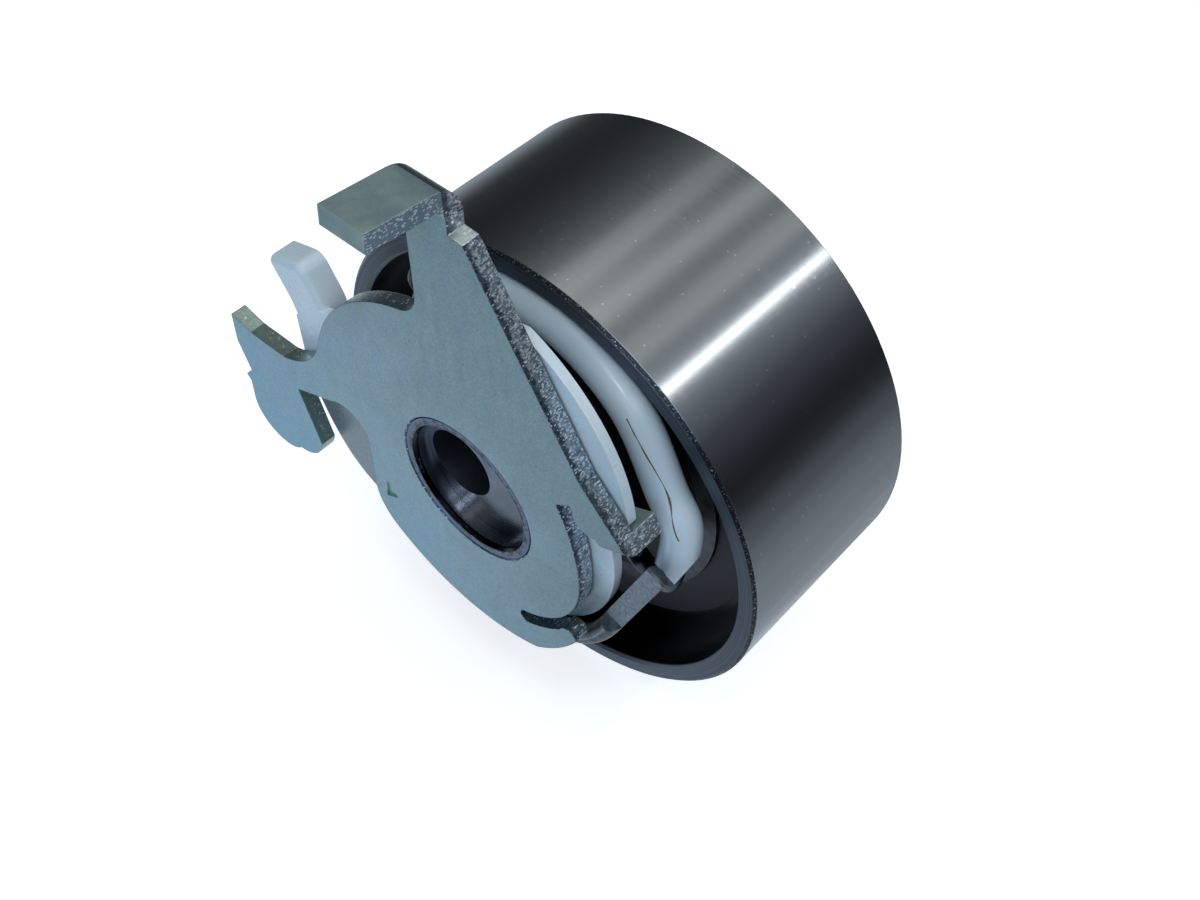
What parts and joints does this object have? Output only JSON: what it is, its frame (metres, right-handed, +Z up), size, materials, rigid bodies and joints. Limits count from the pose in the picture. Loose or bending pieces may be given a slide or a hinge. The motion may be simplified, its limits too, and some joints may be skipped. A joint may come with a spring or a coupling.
{
  "type": "timing belt tensioner",
  "caption": "Automatic timing belt tensioner: steel roller on a sprung eccentric arm, sheet base plate with locating tab, adjusting eccentric hub and white pointer.",
  "frame": {"origin": "on the axis of the bolt hole, at the floor of the counterbore, where the hole begins", "axes": "+Y along the bolt from the engine towards the front, +Z up towards the locating tab, X across"},
  "size_m": [0.0686, 0.0446, 0.0772],
  "materials": {
    "zinc_plated_sheet": "matt blue-white zinc plating on stamped sheet",
    "hub_steel": "turned steel, swaged lip, thin oil film",
    "bush_bronze": "sintered plain bearing bronze",
    "washer_nylon": "moulded thrust washer",
    "arm_aluminium": "die-cast, dark in the roller's shade",
    "white_nylon": "moulded white nylon",
    "spring_steel": "drawn spring wire, flat-ground end",
    "sleeve_nylon": "extruded white tube with a slit",
    "bearing_steel": "ground bearing steel",
    "cage_nylon": "moulded glass-filled nylon",
    "seal_rubber": "moulded seal with steel insert",
    "roller_steel": "ground running face, axial and round marks",
    "ball_steel": "polished bearing balls"
  },
  "bodies": {
    "hub": {"hub_sleeve": "hub_steel", "thrust_washer": "washer_nylon"},
    "plate": {"base_plate": "zinc_plated_sheet", "torsion_spring": "spring_steel", "spring_sleeve": "sleeve_nylon"},
    "arm": {"eccentric_arm": "arm_aluminium", "plain_bush": "bush_bronze", "bearing_inner_ring": "bearing_steel", "pointer_ring": "white_nylon"},
    "roller": {"roller": "roller_steel", "seal_engine_side": "seal_rubber", "seal_front_side": "seal_rubber"},
    "cage": {"ball_cage": "cage_nylon", "ball_1": "ball_steel", "ball_2": "ball_steel", "ball_3": "ball_steel", "ball_4": "ball_steel", "ball_5": "ball_steel", "ball_6": "ball_steel", "ball_7": "ball_steel", "ball_8": "ball_steel", "ball_9": "ball_steel", "ball_10": "ball_steel", "ball_11": "ball_steel", "ball_12": "ball_steel"}
  },
  "joints": [
    {"name": "hub_setting", "type": "hinge", "parent": "hub", "child": "plate", "pos_m": [0.003, 0, 0], "axis": [0, 1, 0], "continuous": true},
    {"name": "arm_swing", "type": "hinge", "parent": "plate", "child": "arm", "pos_m": [0.003, 0, 0], "axis": [0, -1, 0], "range_deg": [0, 60], "stiffness_Nm_per_rad": 1.8, "springref_deg": -34.38, "deforming": ["torsion_spring", "spring_sleeve"]},
    {"name": "roller_spin", "type": "hinge", "parent": "arm", "child": "roller", "pos_m": [0.003, 0, -0.0064], "axis": [0, 1, 0], "continuous": true},
    {"name": "cage_spin", "type": "hinge", "parent": "arm", "child": "cage", "pos_m": [0.003, 0, -0.0064], "axis": [0, 1, 0], "continuous": true}
  ],
  "couplings": [
    {"joint": "cage_spin", "follows": "roller_spin", "ratio": 0.5706}
  ]
}
